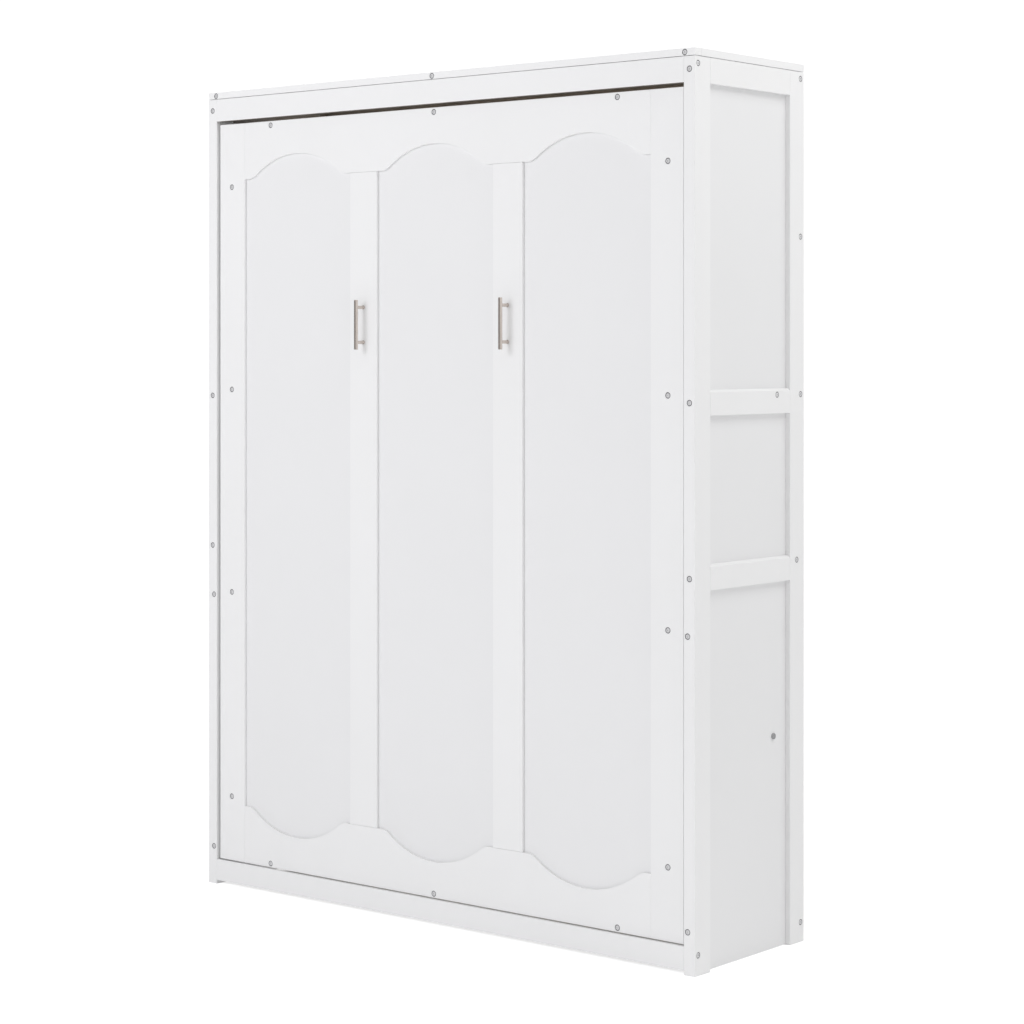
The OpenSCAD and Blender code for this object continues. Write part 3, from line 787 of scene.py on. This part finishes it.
for side in SIDES:
    inward = Vector((1 if side == "left" else -1, 0, 0))
    board(f"{side}_front_post", "cabinet", POST_EASE)
    # The inward faces of the rear posts and top side rails are made dark: painted shade inside the cabinet.
    give_face_painted_shade(board(f"{side}_rear_post", "cabinet", POST_EASE), inward)
    give_face_painted_shade(board(f"{side}_top_side_rail", "cabinet", RAIL_EASE), inward)
    for level in ("upper", "middle"):
        board(f"{side}_{level}_side_panel", "cabinet", PANEL_EASE, board_paint)
    board(f"{side}_side_board", "cabinet", SIDE_BOARD_EASE, board_paint)
# The underside of the header rail is made dark: painted shade over the gap above the bed front.
give_face_painted_shade(board("header_rail", "cabinet", RAIL_EASE), DOWN)
board("cap_strip", "cabinet", CAP_STRIP_EASE, short_below=CAP_LINE)
board("cap_board", "cabinet", CAP_BOARD_EASE, short_below=CAP_LINE)
# The wall rails take the dark fibreboard finish: raw board, its dark tone partly painted shade for the inside
# of the cabinet.
for node in ("rear_top_rail", "rear_upper_rail", "rear_lower_rail", "rear_bottom_rail"):
    board(node, "cabinet", REAR_EASE, raw_fibreboard, "raw_fibreboard")
board("rear_shelf", "cabinet", REAR_EASE, board_paint)
for side in SIDES:
    make_side_rail(side, "upper")
    make_side_rail(side, "lower")
make_base_rail()

# ---------------------------------------------------------------------------
# Bed front
# ---------------------------------------------------------------------------
ARCH_RADIUS = 270 * mm
ARCH_RISE = 65 * mm
SHOULDER_RADIUS = 50 * mm
ARCH_STEPS = 72
SHOULDER_STEPS = 16
FRONT_EASE = 0.7 * mm
MULLION_EASE = 1.0 * mm
MULLION_LINE = 0.3 * mm  # dark joint at each end of a mullion


def arch_edge(rail_half, bay):
    """The scalloped edge of an arched rail, from left to right, with its shoulders at height 0."""
    arch_middle = ARCH_RISE - ARCH_RADIUS
    shoulder_x = math.sqrt((ARCH_RADIUS + SHOULDER_RADIUS) ** 2 - (SHOULDER_RADIUS - arch_middle) ** 2)
    lean = math.degrees(math.asin(shoulder_x / (ARCH_RADIUS + SHOULDER_RADIUS)))
    points = [(-rail_half, 0.0)]
    for x in (-bay, 0, bay):
        left, right = (x - shoulder_x, SHOULDER_RADIUS), (x + shoulder_x, SHOULDER_RADIUS)
        points += arc(left, SHOULDER_RADIUS, -90, -90 + lean, SHOULDER_STEPS)
        points += arc((x, arch_middle), ARCH_RADIUS, 90 + lean, 90 - lean, ARCH_STEPS)[1:-1]
        points += arc(right, SHOULDER_RADIUS, -90 - lean, -90, SHOULDER_STEPS)
    return points + [(rail_half, 0.0)]


def make_arched_rail(node, upper):
    """The rail over or under the panels, drawn from the height of its shoulders outwards."""
    low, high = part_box(node)
    shoulders, outwards = (low.z, 1) if upper else (high.z, -1)
    mullion_low, mullion_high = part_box("right_mullion")
    bay = mullion_low.x + mullion_high.x
    height = high.z - low.z
    outline = [(high.x, height), (low.x, height)] + arch_edge(high.x, bay)

    def to_frame(u, v, depth):
        return (u, low.y + depth, shoulders + outwards * v)

    bm = bmesh.new()
    add_slab(bm, outline, to_frame, high.y - low.y, FRONT_EASE)
    painted_piece(node, cut_screw_seats(mesh_from(bm), low, high), "bed")


make_arched_rail("top_arch_rail", upper=True)
make_arched_rail("bottom_arch_rail", upper=False)
for side in SIDES:
    board(f"{side}_stile", "bed", FRONT_EASE)
    board(f"{side}_mullion", "bed", MULLION_EASE, short_below=MULLION_LINE, short_above=MULLION_LINE)
    board(f"{side}_front_sheet", "bed", PANEL_EASE, board_paint)
board("centre_front_sheet", "bed", PANEL_EASE, board_paint)

# ---------------------------------------------------------------------------
# Screws and handles
# ---------------------------------------------------------------------------
SOCKET_RADIUS = 2.3 * mm
SOCKET_DEPTH = 4.0 * mm
HEAD_RADIUS = 5.7 * mm
HEAD_THICK = 2.0 * mm
SHANK_RADIUS = 3.0 * mm
POINT_LENGTH = 4 * mm
WASHER_RADIUS = 7.75 * mm
WASHER_HOLE = HEAD_RADIUS + 0.1 * mm
SCREW_EDGE = 28  # degrees; rounder edges of a screw are shaded smooth


def add_screw(bm, head, outward, length):
    """A flat-headed screw with a hexagon socket, its shank running into the wood."""
    rings = [
        (0, -SOCKET_DEPTH),
        (SOCKET_RADIUS, -SOCKET_DEPTH, "hex"),
        (SOCKET_RADIUS, -0.15 * mm, "hex"),
        (SOCKET_RADIUS + 0.5 * mm, 0),
        (HEAD_RADIUS - 0.5 * mm, 0),
        (HEAD_RADIUS - 0.1 * mm, -0.2 * mm),
        (HEAD_RADIUS, -0.6 * mm),
        (HEAD_RADIUS, -HEAD_THICK),
        (SHANK_RADIUS, -HEAD_THICK),
        (SHANK_RADIUS, POINT_LENGTH - length),
        (0, -length),
    ]
    add_turned(bm, rings, facing(head, outward))


def add_shade_washer(bm, head, outward):
    """A dark washer let in round a screw head: painted shade for the gap round the head."""
    rings = [
        (WASHER_HOLE, -HEAD_THICK),
        (WASHER_HOLE, -0.7 * mm),
        (WASHER_RADIUS - 0.4 * mm, -0.35 * mm),
        (WASHER_RADIUS, -0.6 * mm),
        (WASHER_RADIUS, -HEAD_THICK),
        (WASHER_HOLE, -HEAD_THICK),
    ]
    add_turned(bm, rings, facing(head, outward))


def make_screws(name, places, node, body):
    screws, shade_washers = bmesh.new(), bmesh.new()
    for head, outward, length in places:
        add_screw(screws, head, outward, length)
        add_shade_washer(shade_washers, head, outward)
    bmesh.ops.remove_doubles(shade_washers, verts=shade_washers.verts, dist=WELD)
    finish_piece(name, mesh_from(screws), screw_steel, body, [node], smooth_below=SCREW_EDGE)
    # The dark washers are painted shade round the screw heads.
    finish_piece(
        "shade_washers_of_" + name, mesh_from(shade_washers), shade_dark_steel, body, smooth_below=SCREW_EDGE
    )


make_screws("cabinet_socket_screws", cabinet_screw_places, "cabinet_screws", "cabinet")
make_screws("front_socket_screws", front_screw_places, "front_screws", "bed")

HANDLE_SPAN = 96 * mm
HANDLE_EDGE = 30  # degrees
BAR_CHAMFER = 0.8 * mm
POST_RADIUS = 4.5 * mm
NECK_RADIUS = POST_RADIUS - 0.4 * mm
FLANGE_RADIUS = POST_RADIUS + 0.9 * mm
FLANGE_THICK = 2.4 * mm
HANDLE_SCREW_RADIUS = 2.0 * mm
HANDLE_SCREW_HEAD = 4.0 * mm
HAIR = 0.002 * mm  # keeps the turned bar inside the CAD box


def add_handle_post(bm, place, bar_radius, reach):
    """A post from the middle of the bar to its flange on the mullion."""
    rings = [
        (0, 0),
        (NECK_RADIUS, 0),
        (NECK_RADIUS, bar_radius + 0.4 * mm),
        (POST_RADIUS, bar_radius + 1.2 * mm),
        (POST_RADIUS, reach - FLANGE_THICK - 0.8 * mm),
        (FLANGE_RADIUS, reach - FLANGE_THICK),
        (FLANGE_RADIUS, reach - 0.3 * mm),
        (POST_RADIUS + 0.6 * mm, reach),
        (0, reach),
    ]
    add_turned(bm, rings, place, 40)


def add_handle_screw(bm, place, length):
    """A domed screw that holds a post from behind the sheet."""
    rings = [
        (0, -2.4 * mm),
        (2.6 * mm, -2.2 * mm),
        (3.8 * mm, -1.2 * mm),
        (HANDLE_SCREW_HEAD, 0),
        (HANDLE_SCREW_RADIUS, 0),
        (HANDLE_SCREW_RADIUS, length),
        (0, length),
    ]
    add_turned(bm, rings, place, 32)


def make_handle(side):
    """A round bar on two flanged posts, with the two screws that hold it."""
    node = f"{side}_handle"
    low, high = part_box(node)
    front_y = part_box(f"{side}_mullion")[0].y
    back_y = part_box("centre_front_sheet")[1].y
    middle_x, middle_z = (low.x + high.x) / 2, (low.z + high.z) / 2
    bar_radius = (high.x - low.x) / 2 - HAIR
    bar_y = low.y + HAIR + bar_radius
    half = (high.z - low.z) / 2
    lower_end = [(0, -half), (bar_radius - BAR_CHAMFER, -half), (bar_radius, BAR_CHAMFER - half)]
    upper_end = [(radius, -height) for radius, height in reversed(lower_end)]
    bm = bmesh.new()
    add_turned(bm, lower_end + upper_end, facing((middle_x, bar_y, middle_z), (0, 0, 1)))
    for z in (middle_z - HANDLE_SPAN / 2, middle_z + HANDLE_SPAN / 2):
        add_handle_post(bm, facing((middle_x, bar_y, z), (0, 1, 0)), bar_radius, front_y - bar_y)
        add_handle_screw(bm, facing((middle_x, back_y, z), (0, -1, 0)), back_y - front_y)
    mesh = mesh_from(bm)
    finish_piece(
        f"bar_pull_{side}", mesh, brushed_nickel, "bed", [node], smooth_below=HANDLE_EDGE
    )


make_handle("left")
make_handle("right")

# ---------------------------------------------------------------------------
# Bed frame behind the front
# ---------------------------------------------------------------------------
FRAME_EASE = 1.5 * mm
FRAME_CORNER = 30 * mm
SLAT_EASE = 2.5 * mm
CLEAT_HALF = 9 * mm
SLAT_SCREW = [
    (0, -1.0 * mm),
    (0.9 * mm, -0.9 * mm),
    (1.4 * mm, 0.15 * mm),
    (3.6 * mm, 0.2 * mm),
    (3.9 * mm, 0),
    (3.9 * mm, -1.2 * mm),
    (0, -1.2 * mm),
]


def make_bed_rail(side):
    """Side rail with its two free corners rounded."""
    node = f"{side}_bed_rail"
    low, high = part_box(node)
    corner_y = high.y - FRAME_CORNER
    outline = [(low.y, high.z), (low.y, low.z)]
    outline += arc((corner_y, low.z + FRAME_CORNER), FRAME_CORNER, -90, 0, 16)
    outline += arc((corner_y, high.z - FRAME_CORNER), FRAME_CORNER, 0, 90, 16)

    def to_frame(u, v, depth):
        return (low.x + depth, u, v)

    bm = bmesh.new()
    add_slab(bm, outline, to_frame, high.x - low.x, FRAME_EASE)
    painted_piece(node, mesh_from(bm), "bed")


def make_pine_boards(name, node, ease):
    """Every solid of a CAD node as a planed board with its own grain."""
    bm = bmesh.new()
    layer = bm.verts.layers.float_vector.new("board")
    for index, group in enumerate(islands(node)):
        low, high = box_of(group)
        before = set(bm.verts)
        add_block(bm, low, high, ease)
        order = longest_first(low, high)
        shift = Vector((index * 2.3 + 0.4, index * 0.83, index * 0.47))
        for vertex in set(bm.verts) - before:
            vertex[layer] = Vector(vertex.co[axis] - low[axis] for axis in order) + shift
    finish_piece(name, mesh_from(bm), planed_pine, "bed", [node], is_board=True)


def make_slat_screws():
    """Two countersunk screws through each slat into the cleats."""
    cleat_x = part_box("slat_cleats")[1].x - CLEAT_HALF
    bm = bmesh.new()
    for group in islands("slats"):
        low, high = box_of(group)
        for x in (-cleat_x, cleat_x):
            add_turned(bm, SLAT_SCREW, facing((x, high.y, (low.z + high.z) / 2), (0, 1, 0)), 24)
    finish_piece("slat_screws", mesh_from(bm), screw_steel, "bed", smooth_below=SCREW_EDGE)


board("head_rail", "bed", FRAME_EASE)
board("foot_rail", "bed", FRAME_EASE)
make_bed_rail("left")
make_bed_rail("right")
make_pine_boards("planed_slats", "slats", SLAT_EASE)
make_pine_boards("planed_cleats", "slat_cleats", FRAME_EASE)
make_pine_boards("planed_centre_beam", "centre_beam", FRAME_EASE)
make_slat_screws()


# ---------------------------------------------------------------------------
# Steel parts and fittings that keep their CAD shape
# ---------------------------------------------------------------------------
def dress(node, finish, ease=0.0):
    """Gives a CAD node its finish, and rounds its sharp edges where ease is above 0."""
    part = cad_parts[node]
    materials = part.data.materials
    if not materials:
        materials.append(finish)
    for index in range(len(materials)):
        materials[index] = finish
    if ease:
        weld = part.modifiers.new("weld", "WELD")
        weld.merge_threshold = WELD
        rounding = part.modifiers.new("rounding", "BEVEL")
        rounding.width = ease
        rounding.segments = 2
        rounding.limit_method = "ANGLE"
        rounding.angle_limit = math.radians(40)
        rounding.harden_normals = True


for side in SIDES:
    dress(f"{side}_pivot_plate", plated_steel, ease=0.5 * mm)
    dress(f"{side}_strut_anchor", black_steel, ease=0.4 * mm)
    dress(f"{side}_hinge_arm", plated_steel, ease=0.5 * mm)
    dress(f"{side}_strut_cylinder", black_enamel)
    dress(f"{side}_strut_rod", polished_rod)
dress("plate_screws", screw_steel, ease=0.3 * mm)
dress("bed_bolts", screw_steel, ease=0.4 * mm)
dress("leg_frame", grey_powder_coat)
dress("leg_feet", black_rubber, ease=0.8 * mm)


def make_closing_stops():
    stop_ease = 1.2 * mm
    bm = bmesh.new()
    for group in islands("closing_stops"):
        low, high = box_of(group)
        add_block(bm, low, high, stop_ease)
    painted_piece("closing_stops", mesh_from(bm), "cabinet")


make_closing_stops()

# ---------------------------------------------------------------------------
# Floor and light
# ---------------------------------------------------------------------------
WHITE = (1, 1, 1, 1)
FLOOR_HALF = 200
FLOOR_TONES = ((0.93, 0.93, 0.93, 1), (0.95, 0.95, 0.95, 1))
SHADE_TONE = (0.5, 0.5, 0.5, 1)  # floor under the cabinet
MIRRORED_TONE = (0.45, 0.45, 0.45, 1)  # floor as gloss and metal see it
SHADE_HALVES = (840 * mm, 170 * mm)  # half the width and depth of the shade under the cabinet
SHADE_FADE = 60 * mm
FLOOR_GLOW = 0.13  # what the floor gives back to the object
FLOOR_LIFT = 0.55  # what the camera sees
WHITE_BEHIND = 1.1

# Brightness of the studio: all round, and what is added overhead, behind the bed and on its right
SKY = {"all_round": 0.385, "overhead": 0.13, "behind": 0.35}
SKY_IN_METAL = {"all_round": 0.3, "overhead": 0.2, "behind": 0.3, "right": 0.75}
SKY_AXES = {"overhead": 2, "behind": 1, "right": 0}
LOBE_EDGES = (0.15, 0.75)


def make_floor():
    """A pale matt floor, lifted so that it runs into the white behind, but not under the cabinet."""
    finish, tree, shader = new_finish("studio_floor", Roughness=0.9, Specular_IOR_Level=0.1)
    place = frame_place(tree)
    path = add(tree, "ShaderNodeLightPath").outputs
    axes = add(tree, "ShaderNodeSeparateXYZ", {0: place}).outputs
    within = []
    for axis, half in enumerate(SHADE_HALVES):
        off_middle = math_node(tree, "ABSOLUTE", axes[axis])
        within.append(remap(tree, off_middle, half - SHADE_FADE, half, 1.0, 0.0))
    shade = times(tree, *within)
    tone = blend_colours(tree, noise(tree, place, 1.5, detail=3.0), *FLOOR_TONES)
    tone = blend_colours(tree, shade, tone, SHADE_TONE)
    tone = blend_colours(tree, path["Is Glossy Ray"], tone, MIRRORED_TONE)
    tree.links.new(tone, shader.inputs["Base Color"])
    shader.inputs["Emission Color"].default_value = WHITE
    glow = remap(tree, path["Is Camera Ray"], 0.0, 1.0, FLOOR_GLOW, FLOOR_LIFT)
    open_floor = math_node(tree, "SUBTRACT", 1.0, shade)
    tree.links.new(times(tree, glow, open_floor), shader.inputs["Emission Strength"])
    bm = bmesh.new()
    bmesh.ops.create_grid(bm, x_segments=1, y_segments=1, size=FLOOR_HALF)
    mesh = bpy.data.meshes.new("floor")
    bm.to_mesh(mesh)
    bm.free()
    mesh.materials.append(finish)
    floor = bpy.data.objects.new("floor", mesh)
    scene.collection.objects.link(floor)


def sky_strength(tree, axes, sky):
    """Brightness of the studio by direction."""
    strength = sky["all_round"]
    for name, axis in SKY_AXES.items():
        if name in sky:
            lobe = remap(tree, axes[axis], *LOBE_EDGES, 0.0, sky[name])
            lobe.node.interpolation_type = "SMOOTHSTEP"
            strength = math_node(tree, "ADD", strength, lobe)
    return strength


def make_sky():
    """Soft studio light, brighter overhead and behind; metal mirrors a bright screen on the right."""
    world = bpy.data.worlds.new("studio")
    scene.world = world
    world.use_nodes = True
    tree = world.node_tree
    tree.nodes.clear()
    direction = add(tree, "ShaderNodeTexCoord").outputs["Generated"]
    axes = add(tree, "ShaderNodeSeparateXYZ", {0: direction}).outputs
    path = add(tree, "ShaderNodeLightPath").outputs
    plain, mirrored = sky_strength(tree, axes, SKY), sky_strength(tree, axes, SKY_IN_METAL)
    strength = remap(tree, path["Is Glossy Ray"], 0.0, 1.0, plain, mirrored)
    strength = math_node(tree, "MAXIMUM", strength, times(tree, path["Is Camera Ray"], WHITE_BEHIND))
    background = add(tree, "ShaderNodeBackground", {"Color": WHITE, "Strength": strength})
    output = tree.nodes.new("ShaderNodeOutputWorld")
    tree.links.new(background.outputs[0], output.inputs["Surface"])


def make_softbox(name, at, towards, width, power, colour):
    """A square softbox that lights the object and isn't mirrored in it."""
    light = bpy.data.lights.new(name, "AREA")
    light.color = colour
    light.shape = "RECTANGLE"
    light.size = width
    light.size_y = width
    light.energy = power
    softbox = bpy.data.objects.new(name, light)
    softbox.matrix_world = facing(at, Vector(at) - Vector(towards))
    softbox.visible_glossy = False
    scene.collection.objects.link(softbox)


make_floor()
make_sky()
make_softbox(
    "front_softbox",
    at=(-1.1, -5.1, 3.4),
    towards=(0, -0.25, 1.4),
    width=2.8,
    power=101,
    colour=(0.97, 0.97, 1.0),
)
make_softbox(
    "side_softbox",
    at=(3.5, 0.4, 5.2),
    towards=(0.86, 0, 1.2),
    width=3.0,
    power=86,
    colour=(1.0, 1.0, 1.0),
)
scene.view_settings.view_transform = "Standard"
